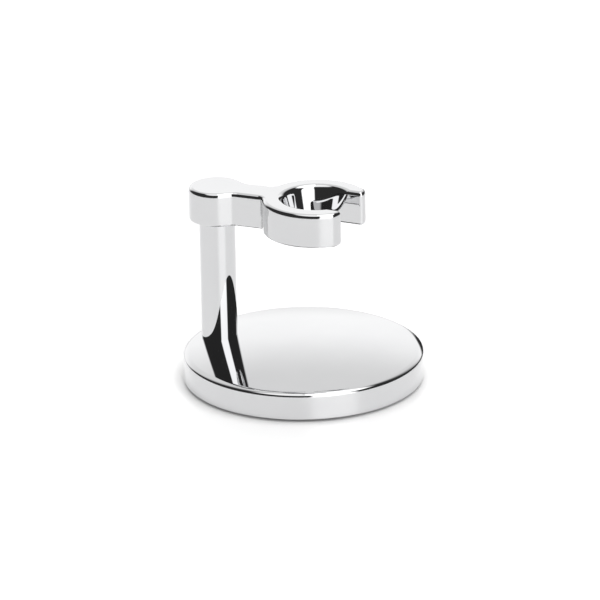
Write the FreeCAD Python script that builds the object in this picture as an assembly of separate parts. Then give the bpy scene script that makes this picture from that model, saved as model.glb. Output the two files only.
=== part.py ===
"""Razor stand: a weighted round base, one upright post and a level arm with an open ring.

The ring has a tapered seat and a slot in front, so a safety razor is slid in from the side and hangs in it.
Every piece is a separate solid, and each is written to parts/NAME.step.

Frame: millimetres, +Z up. The origin is the centre of the base on the surface that the stand rests on.
+X runs along the arm, from the post towards the ring's slot.
"""

import FreeCAD
import Part

import math
import os

Vector = FreeCAD.Vector
UP = Vector(0, 0, 1)

# Base: a domed cast cover over a steel weight, with a soft pad underneath
BASE_R = 30.0
DOME_TOP_Z = 9.5
DOME_R = 206.0  # radius of the ball that the dome is part of
SHOULDER_ROUND = 3.6  # the dome runs into a shoulder, and the shoulder into a tighter rim
RIM_ROUND = 0.7
RIM_TURN = math.radians(60)  # the surface's tilt where the rim meets the shoulder
FOOT_ROUND = 0.4
COVER_WALL = 2.2
PAD_R = 28.6
PAD_T = 0.6
TAPE_R = 27.5
TAPE_T = 0.15

# Post
POST_X = -22.5
POST_R = 4.5
POST_CHAMFER = 0.25
SOCKET_FLOOR_Z = 6.6  # the post stands in a shallow socket in the dome
SOCKET_GAP = 0.03
SOCKET_MOUTH_ROUND = 0.6

# Arm
ARM_BOTTOM_Z = 39.6
ARM_TOP_Z = 48.2
HUB_R = 7.0
NECK_HALF = 4.2
RING_X = 4.0
RING_R = 13.4
RING_END = 9.65  # from the ring's axis, along the slot, to the flat plane where both prongs end
SLOT_HALF = 6.5
SLOT_TURN = 2.5  # degrees that the slot is turned from the arm's own line, clockwise from above
SEAT_TOP_R = 8.55  # where the seat's taper would meet the arm's top
SEAT_TAPER = 16.0  # degrees from upright
ARM_TOP_ROUND = 1.1
ARM_FOOT_ROUND = 0.6
INSIDE_CORNER_ROUND = 1.0
PRONG_CORNER_ROUND = 1.1

# Weight inside the base
WEIGHT_GAP = 0.2
WEIGHT_T = 3.6
WEIGHT_BOTTOM_Z = PAD_T

# Threads and pins
M5_R = 2.5
M5_PITCH = 0.8
M3_R = 1.5
M3_PITCH = 0.5
THREAD_DEPTH = 0.6134  # of the pitch
THREAD_GAP = 0.04
CLEARANCE_R = 2.75
BOLT_HEAD_R = 4.0
BOLT_HEAD_T = 2.0
BOLT_TIP_Z = 17.0
HEX_SOCKET = 3.0  # across flats
WASHER_R = 4.4
WASHER_T = 0.5
STUD_DEPTH_IN_POST = 8.0
STUD_DEPTH_IN_ARM = 5.5
DOWEL_R = 1.0
DOWEL_OFFSET = 3.35
DOWEL_GAP = 0.01
DOWEL_DEPTH_IN_POST = 3.5
DOWEL_DEPTH_IN_ARM = 3.0
DOWEL_DEPTH_IN_BASE = 1.6
HOLE_SPARE = 0.6  # blind holes are this much deeper than what they hold

# The three screws that hold the weight
WEIGHT_SCREW_PCD = 32.0
WEIGHT_SCREW_ANGLES = (60, -60, 0)
WEIGHT_SCREW_HEAD_R = 2.8
WEIGHT_SCREW_HEAD_T = 1.7
WEIGHT_SCREW_LENGTH = 5.4
BOSS_R = 3.2


def cylinder(radius, bottom, top, x=0.0, y=0.0):
    """An upright cylinder between two heights."""
    return Part.makeCylinder(radius, top - bottom, Vector(x, y, bottom), UP)


def revolve(edges):
    """Turns a closed outline in the XZ plane, with X at or above 0, into a solid round Z."""
    face = Part.Face(Part.Wire(edges))
    return face.revolve(Vector(0, 0, 0), UP, 360)


def line(start, end):
    return Part.LineSegment(start, end).toShape()


def on_circle(cx, cz, radius, angle):
    """A point in the XZ plane, with the angle in radians above +X."""
    return Vector(cx + radius * math.cos(angle), 0, cz + radius * math.sin(angle))


def arc_between(cx, cz, radius, start, end):
    """The arc of a circle in the XZ plane between two angles."""
    points = [on_circle(cx, cz, radius, angle) for angle in (start, (start + end) / 2, end)]
    return Part.Arc(*points).toShape()


def rounded_outline():
    """Half section of the base's outside: foot, wall, rim, shoulder and dome, each tangent to the next."""
    dome_z = DOME_TOP_Z - DOME_R
    apart = SHOULDER_ROUND - RIM_ROUND
    rim_x = BASE_R - RIM_ROUND
    shoulder_x = rim_x - apart * math.cos(RIM_TURN)
    shoulder_z = dome_z + math.sqrt((DOME_R - SHOULDER_ROUND) ** 2 - shoulder_x**2)
    rim_z = shoulder_z + apart * math.sin(RIM_TURN)
    tangent = math.atan2(shoulder_z - dome_z, shoulder_x)
    foot_x, foot_z = BASE_R - FOOT_ROUND, PAD_T + FOOT_ROUND
    return [
        line(Vector(0, 0, PAD_T), Vector(foot_x, 0, PAD_T)),
        arc_between(foot_x, foot_z, FOOT_ROUND, -math.pi / 2, 0),
        line(Vector(BASE_R, 0, foot_z), Vector(BASE_R, 0, rim_z)),
        arc_between(rim_x, rim_z, RIM_ROUND, 0, RIM_TURN),
        arc_between(shoulder_x, shoulder_z, SHOULDER_ROUND, RIM_TURN, tangent),
        arc_between(0, dome_z, DOME_R, tangent, math.pi / 2),
        line(Vector(0, 0, DOME_TOP_Z), Vector(0, 0, PAD_T)),
    ]


def weight_screw_places():
    radius = WEIGHT_SCREW_PCD / 2
    for angle in WEIGHT_SCREW_ANGLES:
        yield radius * math.cos(math.radians(angle)), radius * math.sin(math.radians(angle))


def base_cover():
    """The cast and plated cover: a shallow cup, upside down, with bosses for the bolt and the three screws."""
    outside = revolve(rounded_outline())
    cavity_r = BASE_R - COVER_WALL
    weight_top = WEIGHT_BOTTOM_Z + WEIGHT_T
    inner_dome = Part.makeSphere(DOME_R - COVER_WALL, Vector(0, 0, DOME_TOP_Z - DOME_R))
    cavity = cylinder(cavity_r, 0, DOME_TOP_Z).common(inner_dome)
    bosses = [cylinder(POST_R + 1.0, weight_top, DOME_TOP_Z, POST_X)]
    for x, y in weight_screw_places():
        bosses.append(cylinder(BOSS_R, weight_top, DOME_TOP_Z, x, y))
    for boss in bosses:
        cavity = cavity.cut(boss)
    cover = outside.cut(cavity)
    cover = cover.cut(cylinder(POST_R + SOCKET_GAP, SOCKET_FLOOR_Z, ARM_BOTTOM_Z, POST_X))
    cover = cover.makeFillet(SOCKET_MOUTH_ROUND, socket_mouth(cover))
    cover = cover.cut(cylinder(CLEARANCE_R, 0, ARM_BOTTOM_Z, POST_X))
    cover = cover.cut(
        cylinder(
            DOWEL_R + DOWEL_GAP,
            SOCKET_FLOOR_Z - DOWEL_DEPTH_IN_BASE,
            ARM_BOTTOM_Z,
            POST_X + DOWEL_OFFSET,
        )
    )
    hole_top = WEIGHT_BOTTOM_Z + WEIGHT_SCREW_LENGTH + HOLE_SPARE
    for x, y in weight_screw_places():
        cover = cover.cut(cylinder(M3_R + THREAD_GAP, weight_top - 1, hole_top, x, y))
    return cover


def socket_mouth(cover):
    """The edge where the post's socket opens through the dome."""
    reach = POST_R + SOCKET_GAP
    found = []
    for edge in cover.Edges:
        box = edge.BoundBox
        round_post = abs(box.XMin - POST_X + reach) < 0.01 and abs(box.XMax - POST_X - reach) < 0.01
        if round_post and box.ZMin > SOCKET_FLOOR_Z + 0.5:
            found.append(edge)
    return found


def countersink(x, y, gap):
    """The cone of a countersunk screw head, flush with the weight's underside."""
    head_r, shank_r = WEIGHT_SCREW_HEAD_R + gap, M3_R + gap
    return Part.makeCone(
        head_r, shank_r, WEIGHT_SCREW_HEAD_T, Vector(x, y, WEIGHT_BOTTOM_Z), UP
    )


def base_weight():
    """The steel disc that makes the stand heavy, with seats for the bolt head and the three screws."""
    radius = BASE_R - COVER_WALL - WEIGHT_GAP
    top = WEIGHT_BOTTOM_Z + WEIGHT_T
    weight = cylinder(radius, WEIGHT_BOTTOM_Z, top)
    weight = weight.makeChamfer(0.3, weight.Edges)
    weight = weight.cut(cylinder(CLEARANCE_R, 0, top + 1, POST_X))
    seat_top = WEIGHT_BOTTOM_Z + BOLT_HEAD_T + WASHER_T
    weight = weight.cut(cylinder(WASHER_R + 0.15, 0, seat_top, POST_X))
    for x, y in weight_screw_places():
        weight = weight.cut(countersink(x, y, 0.05))
        weight = weight.cut(cylinder(M3_R + 0.15, 0, top + 1, x, y))
    return weight


def thread(radius, pitch, bottom, top, x=0.0, y=0.0):
    """A threaded shank with a chamfered tip, drawn as rings of the thread's own depth and pitch."""
    depth = THREAD_DEPTH * pitch
    crest = pitch / 8
    points = [Vector(0, 0, bottom), Vector(radius - depth, 0, bottom)]
    turns = int((top - bottom) / pitch)
    for i in range(turns):
        z = bottom + i * pitch
        points.append(Vector(radius, 0, z + pitch / 2 - crest))
        points.append(Vector(radius, 0, z + pitch / 2 + crest))
        points.append(Vector(radius - depth, 0, z + pitch))
    points.append(Vector(radius - depth, 0, top))
    points.append(Vector(0, 0, top))
    clean = [points[0]]
    for point in points[1:]:
        if point.distanceToPoint(clean[-1]) > 1e-6:
            clean.append(point)
    edges = [line(a, b) for a, b in zip(clean, clean[1:] + clean[:1])]
    shank = revolve(edges)
    shank.translate(Vector(x, y, 0))
    return shank


def hexagon(across_flats, bottom, top, x=0.0, y=0.0):
    corner = across_flats / math.sqrt(3)
    points = [
        Vector(x + corner * math.cos(k * math.pi / 3), y + corner * math.sin(k * math.pi / 3), bottom)
        for k in range(7)
    ]
    return Part.Face(Part.makePolygon(points)).extrude(Vector(0, 0, top - bottom))


def base_bolt():
    """A low-head socket bolt, up through the weight and the cover into the post."""
    head_top = WEIGHT_BOTTOM_Z + BOLT_HEAD_T
    head = cylinder(BOLT_HEAD_R, WEIGHT_BOTTOM_Z + 0.05, head_top, POST_X)
    rim = [e for e in head.Edges if abs(e.BoundBox.ZMax - WEIGHT_BOTTOM_Z - 0.05) < 1e-6]
    head = head.makeFillet(0.4, rim)
    plain = cylinder(M5_R, head_top, SOCKET_FLOOR_Z, POST_X)
    screw = thread(M5_R, M5_PITCH, SOCKET_FLOOR_Z, BOLT_TIP_Z, POST_X)
    bolt = head.fuse(plain).fuse(screw)
    return bolt.cut(hexagon(HEX_SOCKET, 0, WEIGHT_BOTTOM_Z + 1.4, POST_X))


def lock_washer():
    """A split spring washer between the bolt head and the weight."""
    bottom = WEIGHT_BOTTOM_Z + BOLT_HEAD_T
    ring = cylinder(WASHER_R, bottom, bottom + WASHER_T, POST_X)
    ring = ring.cut(cylinder(M5_R + 0.1, bottom - 1, bottom + 1, POST_X))
    split = Part.makeBox(WASHER_R + 1, 0.6, 2, Vector(POST_X, -0.3, bottom - 1))
    return ring.cut(split)


def weight_screws():
    """Three countersunk cross-head screws, as separate solids in one node."""
    screws = []
    for x, y in weight_screw_places():
        head_top = WEIGHT_BOTTOM_Z + WEIGHT_SCREW_HEAD_T
        tip = WEIGHT_BOTTOM_Z + WEIGHT_SCREW_LENGTH
        screw = countersink(x, y, 0).fuse(thread(M3_R, M3_PITCH, head_top, tip, x, y))
        for turn in (0, 90):
            cross = Part.makeBox(3.2, 0.6, 1.1, Vector(-1.6, -0.3, 0))
            cross.rotate(Vector(0, 0, 0), UP, turn)
            cross.translate(Vector(x, y, WEIGHT_BOTTOM_Z - 0.1))
            screw = screw.cut(cross)
        screws.append(screw)
    return Part.makeCompound(screws)


def post():
    """The round post, tapped at both ends and drilled off-centre for the dowels that stop it turning."""
    body = cylinder(POST_R, SOCKET_FLOOR_Z, ARM_BOTTOM_Z, POST_X)
    body = body.makeChamfer(POST_CHAMFER, [e for e in body.Edges if e.Curve.TypeId == "Part::GeomCircle"])
    bolt_hole = cylinder(M5_R + THREAD_GAP, 0, BOLT_TIP_Z + HOLE_SPARE, POST_X)
    stud_bottom = ARM_BOTTOM_Z - STUD_DEPTH_IN_POST - HOLE_SPARE
    stud_hole = cylinder(M5_R + THREAD_GAP, stud_bottom, ARM_TOP_Z, POST_X)
    dowel_x = POST_X + DOWEL_OFFSET
    low_dowel = cylinder(
        DOWEL_R + DOWEL_GAP, 0, SOCKET_FLOOR_Z + DOWEL_DEPTH_IN_POST + HOLE_SPARE, dowel_x
    )
    high_dowel = cylinder(
        DOWEL_R + DOWEL_GAP, ARM_BOTTOM_Z - DOWEL_DEPTH_IN_POST - HOLE_SPARE, ARM_TOP_Z, dowel_x
    )
    for hole in (bolt_hole, stud_hole, low_dowel, high_dowel):
        body = body.cut(hole)
    return body


def dowel(bottom, top):
    pin = cylinder(DOWEL_R, bottom, top, POST_X + DOWEL_OFFSET)
    return pin.makeChamfer(0.2, [e for e in pin.Edges if e.Curve.TypeId == "Part::GeomCircle"])


def arm_stud():
    """A headless stud, half in the post and half in the arm, with a hexagon socket at its lower end."""
    bottom, top = ARM_BOTTOM_Z - STUD_DEPTH_IN_POST, ARM_BOTTOM_Z + STUD_DEPTH_IN_ARM
    stud = thread(M5_R, M5_PITCH, bottom, top, POST_X)
    return stud.cut(hexagon(2.5, bottom - 1, bottom + 2.5, POST_X))


def arm_blank():
    """The arm's plan, full height, before its slot and seat: hub, neck and ring with rounded inside corners."""
    height = ARM_TOP_Z - ARM_BOTTOM_Z
    hub = cylinder(HUB_R, ARM_BOTTOM_Z, ARM_TOP_Z, POST_X)
    ring = cylinder(RING_R, ARM_BOTTOM_Z, ARM_TOP_Z, RING_X)
    neck = Part.makeBox(
        RING_X - POST_X, 2 * NECK_HALF, height, Vector(POST_X, -NECK_HALF, ARM_BOTTOM_Z)
    )
    blank = hub.fuse(neck).fuse(ring).removeSplitter()
    corners = upright_edges(blank, lambda p: abs(abs(p.y) - NECK_HALF) < 1e-3)
    return blank.makeFillet(INSIDE_CORNER_ROUND, corners)


def from_ring_axis(point):
    """How far a point is from the ring's axis, along the slot and across it."""
    turn = math.radians(SLOT_TURN)
    x, y = point.x - RING_X, point.y
    return x * math.cos(turn) - y * math.sin(turn), x * math.sin(turn) + y * math.cos(turn)


def upright_edges(shape, keep):
    """The straight upright edges whose place in plan passes the test."""
    found = []
    for edge in shape.Edges:
        box = edge.BoundBox
        if box.XLength < 1e-6 and box.YLength < 1e-6 and keep(edge.Vertexes[0].Point):
            found.append(edge)
    return found


def edges_at(shape, z):
    """The edges that lie at one height."""
    found = []
    for edge in shape.Edges:
        box = edge.BoundBox
        if abs(box.ZMin - z) < 1e-4 and abs(box.ZMax - z) < 1e-4:
            found.append(edge)
    return found


def ring_hole():
    """What the casting leaves free in the ring: a tapered seat, a round throat below it and the slot in front."""
    low, high = ARM_BOTTOM_Z - 1, ARM_TOP_Z + 1
    taper = math.tan(math.radians(SEAT_TAPER))
    depth = (SEAT_TOP_R - SLOT_HALF) / taper + 1
    seat = Part.makeCone(
        SLOT_HALF, SEAT_TOP_R + taper, depth, Vector(RING_X, 0, high - depth), UP
    )
    throat = cylinder(SLOT_HALF, low, high, RING_X)
    slot = Part.makeBox(2 * RING_R, 2 * SLOT_HALF, high - low, Vector(RING_X, -SLOT_HALF, low))
    hole = throat.fuse(slot).removeSplitter().fuse(seat)
    hole.rotate(Vector(RING_X, 0, 0), UP, -SLOT_TURN)
    return hole


def arm():
    """The cast and plated arm: hub, neck and open ring with its slot and tapered seat."""
    beyond = Part.makeBox(
        RING_R, 4 * RING_R, 3 * RING_R, Vector(RING_X + RING_END, -2 * RING_R, ARM_BOTTOM_Z - RING_R)
    )
    beyond.rotate(Vector(RING_X, 0, 0), UP, -SLOT_TURN)
    body = arm_blank().cut(beyond).cut(ring_hole())
    corners = upright_edges(body, lambda p: abs(from_ring_axis(p)[0] - RING_END) < 1e-3)
    body = body.makeFillet(PRONG_CORNER_ROUND, corners)
    body = body.makeFillet(ARM_TOP_ROUND, edges_at(body, ARM_TOP_Z))
    body = body.makeFillet(ARM_FOOT_ROUND, edges_at(body, ARM_BOTTOM_Z))
    top = ARM_BOTTOM_Z + STUD_DEPTH_IN_ARM + HOLE_SPARE
    body = body.cut(cylinder(M5_R + THREAD_GAP, 0, top, POST_X))
    dowel_top = ARM_BOTTOM_Z + DOWEL_DEPTH_IN_ARM + HOLE_SPARE
    return body.cut(cylinder(DOWEL_R + DOWEL_GAP, 0, dowel_top, POST_X + DOWEL_OFFSET))


def foot_pad():
    """The soft pad over the whole underside, with a shallow bed for the tape that holds it."""
    pad = cylinder(PAD_R, 0, PAD_T)
    pad = pad.makeFillet(0.25, [e for e in pad.Edges if e.BoundBox.ZMax < 1e-6])
    return pad.cut(cylinder(TAPE_R, PAD_T - TAPE_T, PAD_T + 1))


def pad_tape():
    """The double-sided film between the pad and the base."""
    return cylinder(TAPE_R, PAD_T - TAPE_T, PAD_T)


def main():
    parts = {
        "base_cover": base_cover(),
        "base_weight": base_weight(),
        "weight_screws": weight_screws(),
        "base_bolt": base_bolt(),
        "lock_washer": lock_washer(),
        "pad_tape": pad_tape(),
        "foot_pad": foot_pad(),
        "post": post(),
        "base_dowel": dowel(SOCKET_FLOOR_Z - DOWEL_DEPTH_IN_BASE + 0.1, SOCKET_FLOOR_Z + DOWEL_DEPTH_IN_POST),
        "arm_stud": arm_stud(),
        "arm_dowel": dowel(ARM_BOTTOM_Z - DOWEL_DEPTH_IN_POST, ARM_BOTTOM_Z + DOWEL_DEPTH_IN_ARM),
        "arm": arm(),
    }
    os.makedirs("parts", exist_ok=True)
    for name, shape in parts.items():
        assert shape.isValid() and shape.Volume > 0, name
        shape.exportStep(f"parts/{name}.step")
        print(f"{name}: {len(shape.Solids)} solid, {shape.Volume:.1f} mm3")


main()
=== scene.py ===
"""Looks for the razor stand: mirror-bright chrome on smooth meshes, a soft dark pad and a plain studio.

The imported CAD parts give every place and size. A chrome mirror shows each facet of a mesh, so the pieces that can be
seen are built again here, with the same shape and exact normals. Lengths are in metres, and +Z is up.
"""

import itertools
import math

import bpy
import numpy as np
from mathutils import Matrix, Vector


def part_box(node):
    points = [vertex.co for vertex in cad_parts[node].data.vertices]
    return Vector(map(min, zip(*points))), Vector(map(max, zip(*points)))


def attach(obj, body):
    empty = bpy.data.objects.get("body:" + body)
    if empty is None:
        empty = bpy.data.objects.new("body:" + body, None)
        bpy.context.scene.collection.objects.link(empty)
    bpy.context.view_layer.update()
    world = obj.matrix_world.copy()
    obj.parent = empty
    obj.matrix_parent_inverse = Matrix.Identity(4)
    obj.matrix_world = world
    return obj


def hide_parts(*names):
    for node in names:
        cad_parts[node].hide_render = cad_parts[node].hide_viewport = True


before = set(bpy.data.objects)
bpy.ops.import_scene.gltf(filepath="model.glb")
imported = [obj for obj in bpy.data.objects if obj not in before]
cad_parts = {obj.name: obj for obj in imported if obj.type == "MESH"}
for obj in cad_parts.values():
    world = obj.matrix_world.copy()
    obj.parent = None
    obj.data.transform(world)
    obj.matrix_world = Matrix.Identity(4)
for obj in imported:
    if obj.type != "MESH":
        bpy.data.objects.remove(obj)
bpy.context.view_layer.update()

MM = 0.001

# Places and sizes from the frame
base_lo, base_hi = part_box("base_cover")
post_lo, post_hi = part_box("post")
arm_lo, arm_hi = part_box("arm")
pad_lo, pad_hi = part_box("foot_pad")
BASE_R = base_hi.x
POST_R = (post_hi.x - post_lo.x) / 2
POST_X = (post_hi.x + post_lo.x) / 2

# Base cover
DOME_R = 206 * MM
SHOULDER_ROUND = 3.6 * MM
RIM_ROUND = 0.7 * MM
RIM_TURN = 60  # degrees of tilt where the rim meets the shoulder
FOOT_ROUND = 0.4 * MM

# Post
POST_CHAMFER = 0.25 * MM

# Arm
RING_R = arm_hi.y
HUB_R = POST_X - arm_lo.x
NECK_HALF = 4.2 * MM
RING_X = 4.0 * MM
RING_END = 9.65 * MM
SLOT_HALF = 6.5 * MM
SLOT_TURN = math.radians(2.5)
SEAT_TOP_R = 8.55 * MM
SEAT_TAPER = math.radians(16)
SEAT_EDGE_ROUND = 0.4 * MM
ARM_TOP_ROUND = 1.1 * MM
ARM_FOOT_ROUND = 0.6 * MM
INSIDE_CORNER_ROUND = 1.0 * MM
PRONG_CORNER_ROUND = 1.1 * MM
ARM_MESH_STEP = 0.25 * MM

# Pad
PAD_FOOT_ROUND = 0.3 * MM
PAD_BEVEL = 0.05 * MM

# Camera. Angles are in degrees, the lens and the sensor in millimetres.
CAMERA_AZIMUTH = 21.25
CAMERA_ELEVATION = 21.2
CAMERA_DISTANCE = 1.2
CAMERA_ROLL = -0.94
CAMERA_LENS = 290
CAMERA_SENSOR = 36
CAMERA_REACH = 10
CAMERA_TARGET = Vector((0, 0, 0.0214))
CAMERA_SHIFT = (-0.0045, -0.0058)

# Studio. A window of the sky has the azimuth of its middle, half its width, its low and high edge and its softness.
# Angles are in degrees, and azimuths are counted from the camera towards its right.
SKY_DARK = 0.035
STRIP = (27.3, 22.3, -5, 88, 3)  # tall softbox at the camera's right
STRIP_LIGHT = 1.95
STRIP_LEAN = 0.09  # degrees to the right for each degree up
OVERHEAD = (100, 80, 59, 95, 4)
OVERHEAD_LIGHT = 1.9
OVERHEAD_LEFT = (-80, 100, 67, 95, 4)
OVERHEAD_LEFT_LIGHT = 1.3
BACKDROP = (184, 38, -5, 70, 12)
BACKDROP_LOW = 1.28
BACKDROP_HIGH = 0.93
BACKDROP_FADE = (17, 34)
BACKDROP_FOOT = 0.82  # the share of its light that is left at the horizon
BACKDROP_FOOT_FADE = (3, 12)
HORIZON_FADE = (-4, 6)
DARK_CORNER = (146.5, 24.5, -30, 16, 2.5)  # low at the back, right of the backdrop
FLOOR_HALF = 3  # half the width of the floor, in metres
FLOOR_ROUGHNESS = 0.35
# The floor's painted glow, dimmed within FLOOR_SHADOW_REACH of the stand as a painted contact shadow
FLOOR_GLOW = 0.46
FLOOR_SHADOW_REACH = 4 * MM


# ---------------------------------------------------------------- meshes


def add_piece(name, points, faces, normals, slot, replaced):
    """A smooth mesh with its own normals that rides on the stand and stands for a CAD node."""
    mesh = bpy.data.meshes.new(name)
    mesh.from_pydata(points, [], faces)
    mesh.polygons.foreach_set("use_smooth", [True] * len(mesh.polygons))
    mesh.normals_split_custom_set_from_vertices(normals)
    piece = bpy.data.objects.new(name, mesh)
    bpy.context.scene.collection.objects.link(piece)
    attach(piece, "root")
    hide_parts(replaced)
    return piece


def arc_points(centre, radius, start, end, count):
    """Points and outward normals along an arc of the half section. Angles are in degrees above +X."""
    for i in range(count + 1):
        angle = math.radians(start + (end - start) * i / count)
        normal = (math.cos(angle), math.sin(angle))
        yield (centre[0] + radius * normal[0], centre[1] + radius * normal[1]), normal


def turned(profile, segments, x=0.0):
    """A closed mesh of revolution about an upright axis. The profile holds (radius, z) points with their normals."""
    points, normals, faces = [], [], []
    for (radius, z), (out, up) in profile:
        for k in range(segments):
            angle = 2 * math.pi * k / segments
            points.append((x + radius * math.cos(angle), radius * math.sin(angle), z))
            normals.append((out * math.cos(angle), out * math.sin(angle), up))
    for ring in range(len(profile) - 1):
        for k in range(segments):
            a, b = ring * segments + k, ring * segments + (k + 1) % segments
            faces.append((a, b, b + segments, a + segments))
    for ring, order in ((0, -1), (len(profile) - 1, 1)):
        (radius, z), normal = profile[ring]
        points.append((x, 0, z))
        normals.append((0, 0, normal[1]))
        rim = [ring * segments + k for k in range(segments)]
        for a, b in zip(rim, rim[1:] + rim[:1]):
            faces.append((a, b, len(points) - 1)[::order])
    return points, faces, normals


def base_profile():
    """The base's half section, from the middle of its underside out and over to the top of its dome."""
    dome_z = base_hi.z - DOME_R
    apart, turn = SHOULDER_ROUND - RIM_ROUND, math.radians(RIM_TURN)
    shoulder_x = BASE_R - RIM_ROUND - apart * math.cos(turn)
    shoulder_z = dome_z + math.sqrt((DOME_R - SHOULDER_ROUND) ** 2 - shoulder_x**2)
    rim_z = shoulder_z + apart * math.sin(turn)
    tangent = math.degrees(math.atan2(shoulder_z - dome_z, shoulder_x))
    foot = (BASE_R - FOOT_ROUND, base_lo.z + FOOT_ROUND)
    profile = [((r * foot[0], base_lo.z), (0, -1)) for r in (0.1, 0.4, 0.7, 1.0)]
    profile += list(arc_points(foot, FOOT_ROUND, -90, 0, 8))[1:]
    for t in (0.1, 0.5, 0.9):
        profile.append(((BASE_R, foot[1] + t * (rim_z - foot[1])), (1, 0)))
    profile += arc_points((BASE_R - RIM_ROUND, rim_z), RIM_ROUND, 0, RIM_TURN, 14)
    profile += list(arc_points((shoulder_x, shoulder_z), SHOULDER_ROUND, RIM_TURN, tangent, 16))[1:]
    profile += list(arc_points((0, dome_z), DOME_R, tangent, 89.9, 60))[1:]
    return profile


def post_profile():
    """The post's half section: flat ends, a fine bevel at each and a straight wall."""
    c = POST_CHAMFER
    profile = [((0.2 * POST_R, post_lo.z), (0, -1)), ((POST_R - c, post_lo.z), (0, -1))]
    profile += list(arc_points((POST_R - c, post_lo.z + c), c, -90, 0, 6))[1:]
    for t in (0.05, 0.35, 0.65, 0.95):
        profile.append(((POST_R, post_lo.z + t * (post_hi.z - post_lo.z)), (1, 0)))
    profile += arc_points((POST_R - c, post_hi.z - c), c, 0, 90, 6)
    profile.append(((0.2 * POST_R, post_hi.z), (0, 1)))
    return profile


def pad_profile():
    """The pad's half section, with a softly rounded foot."""
    radius, soft = pad_hi.x, PAD_FOOT_ROUND
    profile = [((r * radius, pad_lo.z), (0, -1)) for r in (0.1, 0.5, 0.9)]
    profile += arc_points((radius - soft, pad_lo.z + soft), soft, -90, 0, 6)
    profile.append(((radius, pad_hi.z - PAD_BEVEL), (1, 0)))
    profile.append(((radius - PAD_BEVEL, pad_hi.z), (0.7, 0.7)))
    profile.append(((0.5 * radius, pad_hi.z), (0, 1)))
    return profile


# ---------------------------------------------------------------- the arm as a distance field


def round_cut(a, b, radius):
    """Where both solids are, with the edge between them rounded. Distances are negative inside."""
    both = np.hypot(np.maximum(a + radius, 0), np.maximum(b + radius, 0))
    return np.minimum(np.maximum(a, b), -radius) + both


def round_join(a, b, radius):
    """Where either solid is, with the inside corner between them rounded."""
    both = np.hypot(np.maximum(radius - a, 0), np.maximum(radius - b, 0))
    return np.maximum(np.minimum(a, b), radius) - both


def ring_hole_distance(x, y, z):
    """How far each point is along the slot, and its signed distance to what is left free in the ring.

    That is the tapered seat, the throat below it and the slot.
    """
    along = (x - RING_X) * math.cos(SLOT_TURN) - y * math.sin(SLOT_TURN)
    across = (x - RING_X) * math.sin(SLOT_TURN) + y * math.cos(SLOT_TURN)
    throat_and_slot = np.hypot(np.minimum(along, 0), across) - SLOT_HALF
    seat_r = SEAT_TOP_R - (arm_hi.z - z) * math.tan(SEAT_TAPER)
    seat = (np.hypot(along, across) - seat_r) * math.cos(SEAT_TAPER)
    return along, -round_cut(-throat_and_slot, -seat, SEAT_EDGE_ROUND)


def arm_distance(p):
    """Signed distance to the arm: the plan of hub, neck and ring, cut by the ring's hole and the arm's own faces."""
    x, y, z = p.T
    hub = np.hypot(x - POST_X, y) - HUB_R
    ring = np.hypot(x - RING_X, y) - RING_R
    middle, half = (POST_X + RING_X) / 2, (RING_X - POST_X) / 2
    neck = np.maximum(np.abs(y) - NECK_HALF, np.abs(x - middle) - half)
    plan = round_join(round_join(hub, neck, INSIDE_CORNER_ROUND), ring, INSIDE_CORNER_ROUND)
    along, hole = ring_hole_distance(x, y, z)
    plan = round_cut(plan, along - RING_END, PRONG_CORNER_ROUND)
    plan = round_cut(plan, -hole, PRONG_CORNER_ROUND)
    bar = round_cut(plan, z - arm_hi.z, ARM_TOP_ROUND)
    return round_cut(bar, arm_lo.z - z, ARM_FOOT_ROUND)


def gradient(distance, p, step=0.002 * MM):
    """The field's slope at each point, which is the surface's outward normal there."""
    columns = []
    for axis in np.eye(3):
        columns.append(distance(p + step * axis) - distance(p - step * axis))
    slope = np.stack(columns, -1) / (2 * step)
    return slope / np.maximum(np.linalg.norm(slope, axis=1, keepdims=True), 1e-9)


def pull_to_surface(distance, p, rounds=4):
    """The points moved along the slope onto the field's zero level."""
    for _ in range(rounds):
        p = p - distance(p)[:, None] * gradient(distance, p)
    return p


def surface_net(distance, low, high, step):
    """A closed quad mesh on the field's zero level, made even and pulled exactly onto the surface."""
    axes = [np.arange(a - 2.3 * step, b + 3 * step, step) for a, b in zip(low, high)]
    grid = np.stack(np.meshgrid(*axes, indexing="ij"), -1)
    field = distance(grid.reshape(-1, 3)).reshape(grid.shape[:3])
    cells = tuple(n - 1 for n in field.shape)
    total, count = np.zeros(cells + (3,)), np.zeros(cells)
    crossings = []
    for axis in range(3):
        low_end = np.take(field, range(cells[axis]), axis)
        high_end = np.take(field, range(1, cells[axis] + 1), axis)
        crossed = (low_end < 0) != (high_end < 0)
        share = low_end / np.where(crossed, low_end - high_end, 1)
        place = np.take(grid, range(cells[axis]), axis).copy()
        place[..., axis] += share * step
        crossings.append((crossed, low_end < 0))
        for offset in itertools.product((0, 1), repeat=2):
            start = list(offset)
            start.insert(axis, 0)
            window = tuple(slice(s, s + n) for s, n in zip(start, cells))
            total += np.where(crossed[window][..., None], place[window], 0)
            count += crossed[window]
    active = count > 0
    index = np.cumsum(active).reshape(cells) - 1
    points = total[active] / count[active][:, None]
    faces = []
    for axis, (crossed, solid_below) in enumerate(crossings):
        where = np.argwhere(crossed)
        u, v = np.eye(3, dtype=int)[(axis + 1) % 3], np.eye(3, dtype=int)[(axis + 2) % 3]
        around = [index[tuple((where - back).T)] for back in (u + v, v, 0 * u, u)]
        quads = np.stack(around, -1)
        turn = ~solid_below[tuple(where.T)]
        quads[turn] = quads[turn][:, ::-1]
        faces.append(quads)
    faces = np.concatenate(faces)
    points = pull_to_surface(distance, points)
    for _ in range(6):
        points = pull_to_surface(distance, evened(points, faces), 2)
    return points, faces, gradient(distance, points)


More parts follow.
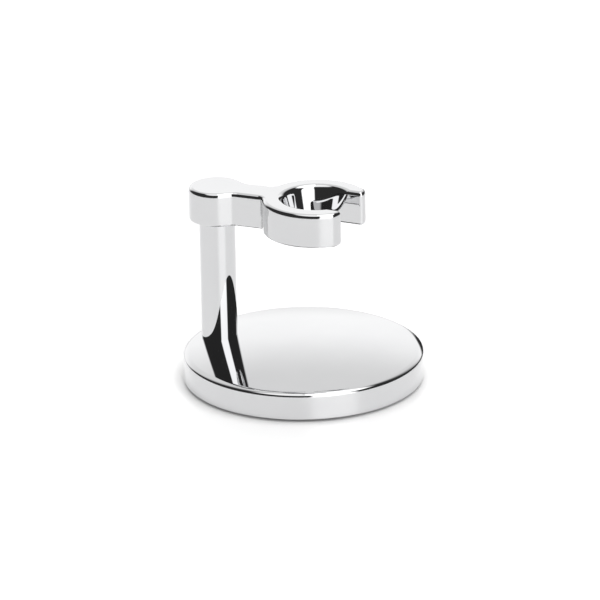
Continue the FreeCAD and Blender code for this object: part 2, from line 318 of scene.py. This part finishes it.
def evened(points, faces):
    """Each point moved to the mean of the faces round it."""
    middles = points[faces].mean(1)
    total, count = np.zeros_like(points), np.zeros(len(points))
    for corner in range(4):
        np.add.at(total, faces[:, corner], middles)
        np.add.at(count, faces[:, corner], 1)
    return total / count[:, None]


# ---------------------------------------------------------------- materials


def new_material(name):
    material = bpy.data.materials.new(name)
    material.use_nodes = True
    tree = material.node_tree
    return material, tree, tree.nodes["Principled BSDF"]


def add_node(tree, kind, inputs=None, **settings):
    """A node with its settings and its sockets' values, or the outputs that feed them."""
    node = tree.nodes.new(kind)
    for key, value in settings.items():
        setattr(node, key, value)
    for key, value in (inputs or {}).items():
        if isinstance(value, bpy.types.NodeSocket):
            tree.links.new(value, node.inputs[key])
        else:
            node.inputs[key].default_value = value
    return node


def math_node(tree, operation, a, b=0.0):
    return add_node(tree, "ShaderNodeMath", {0: a, 1: b}, operation=operation).outputs[0]


def rise(tree, value, start, end):
    """0 below start, 1 above end and a smooth step between them."""
    settings = {"Value": value, "From Min": start, "From Max": end}
    return add_node(tree, "ShaderNodeMapRange", settings, interpolation_type="SMOOTHSTEP").outputs["Result"]


def noise(tree, place, scale, detail=2.0, stretch=(1, 1, 1)):
    """Soft noise between 0 and 1. The scale is in waves per metre, and stretch makes the waves finer along an axis."""
    stretched = add_node(tree, "ShaderNodeMapping", {"Vector": place, "Scale": stretch})
    settings = {"Vector": stretched.outputs[0], "Scale": scale, "Detail": detail}
    return add_node(tree, "ShaderNodeTexNoise", settings).outputs["Fac"]


def spread(tree, value, low, high):
    """The middle of a noise's range, spread between two values."""
    settings = {"Value": value, "From Min": 0.3, "From Max": 0.7, "To Min": low, "To Max": high}
    return add_node(tree, "ShaderNodeMapRange", settings).outputs["Result"]


def two_tone(tree, shader, value, dark, light):
    """The base colour goes from one grey or tint to another as the noise goes up."""
    mix = add_node(tree, "ShaderNodeMix", {"Factor": spread(tree, value, 0, 1)}, data_type="RGBA")
    mix.inputs["A"].default_value = (*dark, 1)
    mix.inputs["B"].default_value = (*light, 1)
    tree.links.new(mix.outputs["Result"], shader.inputs["Base Color"])


def relief(tree, shader, height, depth):
    """A fine bump of that depth in metres."""
    bump = add_node(tree, "ShaderNodeBump", {"Height": height, "Distance": depth, "Strength": 1.0})
    tree.links.new(bump.outputs["Normal"], shader.inputs["Normal"])


def chrome(name, wipe):
    """Mirror plating with a faint patchy haze, fine wipe marks across one axis and a trace of waviness."""
    material, tree, shader = new_material(name)
    place = add_node(tree, "ShaderNodeTexCoord").outputs["Object"]
    haze = noise(tree, place, 70, 4)
    marks = noise(tree, place, 300, 3, wipe)
    two_tone(tree, shader, haze, (0.662, 0.664, 0.672), (0.684, 0.686, 0.692))
    shader.inputs["Metallic"].default_value = 1
    patchy = spread(tree, haze, 0.012, 0.03)
    tree.links.new(math_node(tree, "ADD", patchy, spread(tree, marks, 0, 0.012)), shader.inputs["Roughness"])
    relief(tree, shader, noise(tree, place, 55, 1), 1e-6)
    return material


def rubber(name):
    """Matt black foam rubber with a fine open grain and a dusting of lint."""
    material, tree, shader = new_material(name)
    place = add_node(tree, "ShaderNodeTexCoord").outputs["Object"]
    grain = noise(tree, place, 2500, 4)
    two_tone(tree, shader, noise(tree, place, 300, 6), (0.022, 0.022, 0.024), (0.045, 0.044, 0.043))
    tree.links.new(spread(tree, grain, 0.7, 0.92), shader.inputs["Roughness"])
    relief(tree, shader, grain, 1e-4)
    return material


def turned_steel(name):
    """Plain steel with the fine rings of a lathe tool and a thin oily film."""
    material, tree, shader = new_material(name)
    place = add_node(tree, "ShaderNodeTexCoord").outputs["Object"]
    rings = {"Vector": place, "Scale": 700, "Distortion": 0.4, "Detail": 2}
    rings = add_node(tree, "ShaderNodeTexWave", rings, wave_type="RINGS", rings_direction="Z").outputs["Fac"]
    film = noise(tree, place, 160, 5)
    two_tone(tree, shader, film, (0.39, 0.395, 0.41), (0.46, 0.465, 0.47))
    shader.inputs["Metallic"].default_value = 1
    tree.links.new(spread(tree, film, 0.3, 0.42), shader.inputs["Roughness"])
    relief(tree, shader, rings, 8e-6)
    return material


def zinc(name):
    """Bright zinc plating with a fine crystalline grain and a slight warm and cool tint."""
    material, tree, shader = new_material(name)
    place = add_node(tree, "ShaderNodeTexCoord").outputs["Object"]
    grain = noise(tree, place, 5000, 3)
    two_tone(tree, shader, noise(tree, place, 500, 4), (0.47, 0.48, 0.51), (0.54, 0.53, 0.5))
    shader.inputs["Metallic"].default_value = 1
    tree.links.new(spread(tree, grain, 0.24, 0.36), shader.inputs["Roughness"])
    relief(tree, shader, grain, 6e-6)
    return material


def adhesive_film(name):
    """Milky double-sided film with trapped air in pale specks."""
    material, tree, shader = new_material(name)
    place = add_node(tree, "ShaderNodeTexCoord").outputs["Object"]
    specks = noise(tree, place, 900, 6)
    two_tone(tree, shader, specks, (0.7, 0.68, 0.62), (0.82, 0.81, 0.77))
    tree.links.new(spread(tree, specks, 0.35, 0.6), shader.inputs["Roughness"])
    relief(tree, shader, specks, 2e-5)
    return material


# ---------------------------------------------------------------- build


def build_pieces():
    cover = add_piece("base_shell", *turned(base_profile(), 256), "base_chrome", "base_cover")
    column = add_piece("column", *turned(post_profile(), 128, POST_X), "post_chrome", "post")
    pad = add_piece("soft_pad", *turned(pad_profile(), 192), "pad_rubber", "foot_pad")
    net = surface_net(arm_distance, arm_lo, arm_hi, ARM_MESH_STEP)
    points, faces, normals = (part.tolist() for part in net)
    bracket = add_piece("ring_arm", points, faces, normals, "arm_chrome", "arm")
    cast = chrome("cast_chrome", (1, 1, 9))
    cover.data.materials.append(cast)
    bracket.data.materials.append(cast)
    column.data.materials.append(chrome("drawn_chrome", (9, 9, 1)))
    pad.data.materials.append(rubber("soft_rubber"))


def finish_hidden_nodes():
    """The CAD pieces inside the stand keep their own meshes and get materials with the detail of the real ones."""
    fasteners = ("base_bolt", "lock_washer", "weight_screws", "base_dowel", "arm_stud", "arm_dowel")
    finishes = dict.fromkeys(fasteners, zinc("zinc_plating"))
    finishes["base_weight"] = turned_steel("turned_steel")
    finishes["pad_tape"] = adhesive_film("adhesive_film")
    for name, material in finishes.items():
        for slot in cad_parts[name].material_slots:
            slot.material = material


def add_camera():
    azimuth, elevation = math.radians(CAMERA_AZIMUTH), math.radians(CAMERA_ELEVATION)
    back = Vector(
        (
            math.sin(azimuth) * math.cos(elevation),
            -math.cos(azimuth) * math.cos(elevation),
            math.sin(elevation),
        )
    )
    right = Vector((math.cos(azimuth), math.sin(azimuth), 0))
    up = back.cross(right)
    turn = Matrix((right, up, back)).transposed().to_4x4()
    data = bpy.data.cameras.new("camera")
    data.lens = CAMERA_LENS
    data.sensor_width = CAMERA_SENSOR
    data.shift_x, data.shift_y = CAMERA_SHIFT
    data.clip_end = CAMERA_REACH
    camera = bpy.data.objects.new("camera", data)
    place = Matrix.Translation(CAMERA_TARGET + CAMERA_DISTANCE * back)
    camera.matrix_world = place @ turn @ Matrix.Rotation(math.radians(CAMERA_ROLL), 4, "Z")
    bpy.context.scene.collection.objects.link(camera)
    bpy.context.scene.camera = camera


# ---------------------------------------------------------------- studio


def sky_angles(tree):
    """The direction's azimuth, counted from the camera's towards its right, and its elevation, in degrees."""
    direction = add_node(tree, "ShaderNodeTexCoord").outputs["Generated"]
    turn = {"Vector": direction, "Angle": -math.radians(CAMERA_AZIMUTH)}
    turned_direction = add_node(tree, "ShaderNodeVectorRotate", turn, rotation_type="Z_AXIS").outputs[0]
    x, y, z = add_node(tree, "ShaderNodeSeparateXYZ", {0: turned_direction}).outputs
    azimuth = math_node(tree, "ARCTAN2", x, math_node(tree, "MULTIPLY", y, -1.0))
    return [
        math_node(tree, "MULTIPLY", angle, 180 / math.pi) for angle in (azimuth, math_node(tree, "ARCSINE", z))
    ]


def panel(tree, azimuth, elevation, centre, half, low, high, edge):
    """1 inside a window of the sky and 0 outside it, with soft edges. Angles are in degrees."""
    offset = {0: math_node(tree, "SUBTRACT", azimuth, centre), 1: 180, 2: -180}
    offset = add_node(tree, "ShaderNodeMath", offset, operation="WRAP").outputs[0]
    side = rise(tree, math_node(tree, "ABSOLUTE", offset), half + edge, half - edge)
    up = rise(tree, elevation, low - edge, low + edge)
    down = rise(tree, elevation, high + edge, high - edge)
    return math_node(tree, "MULTIPLY", side, math_node(tree, "MULTIPLY", up, down))


def backdrop_level(tree, elevation):
    """The backdrop's brightness: strongest low down, weaker higher up and again at the horizon."""
    fade = rise(tree, elevation, *reversed(BACKDROP_FADE))
    level = math_node(tree, "MULTIPLY", fade, BACKDROP_LOW - BACKDROP_HIGH)
    level = math_node(tree, "ADD", level, BACKDROP_HIGH)
    foot = math_node(tree, "MULTIPLY", rise(tree, elevation, *BACKDROP_FOOT_FADE), 1 - BACKDROP_FOOT)
    return math_node(tree, "MULTIPLY", level, math_node(tree, "ADD", foot, BACKDROP_FOOT))


def sky_light(tree, azimuth, elevation):
    """The studio's brightness in each direction: horizon, softbox, overhead light and backdrop."""
    lean = math_node(tree, "MULTIPLY", elevation, STRIP_LEAN)
    strip_azimuth = math_node(tree, "SUBTRACT", azimuth, lean)
    lights = (
        (strip_azimuth, STRIP, STRIP_LIGHT),
        (azimuth, OVERHEAD, OVERHEAD_LIGHT),
        (azimuth, OVERHEAD_LEFT, OVERHEAD_LEFT_LIGHT),
        (azimuth, BACKDROP, backdrop_level(tree, elevation)),
    )
    light = math_node(tree, "MAXIMUM", rise(tree, elevation, *reversed(HORIZON_FADE)), SKY_DARK)
    for centre, window, level in lights:
        shown = math_node(tree, "MULTIPLY", panel(tree, centre, elevation, *window), level)
        light = math_node(tree, "MAXIMUM", light, shown)
    open_sky = math_node(tree, "SUBTRACT", 1.0, panel(tree, azimuth, elevation, *DARK_CORNER))
    return math_node(tree, "MAXIMUM", math_node(tree, "MULTIPLY", light, open_sky), SKY_DARK)


def add_sky():
    """Light from all round. The camera itself sees plain white behind the stand."""
    world = bpy.data.worlds.new("studio")
    bpy.context.scene.world = world
    world.use_nodes = True
    tree = world.node_tree
    light = sky_light(tree, *sky_angles(tree))
    for_camera = add_node(tree, "ShaderNodeLightPath").outputs["Is Camera Ray"]
    light = math_node(tree, "MAXIMUM", light, for_camera)
    tree.links.new(light, tree.nodes["Background"].inputs["Color"])


def add_floor():
    """A pale floor with a painted glow of its own, dimmed close to the stand as a painted contact shadow."""
    h = FLOOR_HALF
    mesh = bpy.data.meshes.new("floor")
    mesh.from_pydata([(-h, -h, 0), (h, -h, 0), (h, h, 0), (-h, h, 0)], [], [(0, 1, 2, 3)])
    floor = bpy.data.objects.new("floor", mesh)
    bpy.context.scene.collection.objects.link(floor)
    material, tree, shader = new_material("floor_white")
    shader.inputs["Base Color"].default_value = (0.9, 0.9, 0.9, 1)
    shader.inputs["Roughness"].default_value = FLOOR_ROUGHNESS
    shader.inputs["Emission Color"].default_value = (1, 1, 1, 1)
    # Painted contact shadow: the floor's glow is scaled by its ambient occlusion within this reach of the stand
    painted_shadow_ao = add_node(tree, "ShaderNodeAmbientOcclusion", {"Distance": FLOOR_SHADOW_REACH}, samples=8)
    glow = math_node(tree, "MULTIPLY", painted_shadow_ao.outputs["AO"], FLOOR_GLOW)
    tree.links.new(glow, shader.inputs["Emission Strength"])
    mesh.materials.append(material)


build_pieces()
finish_hidden_nodes()
add_camera()
add_sky()
add_floor()
bpy.context.scene.view_settings.view_transform = "Standard"
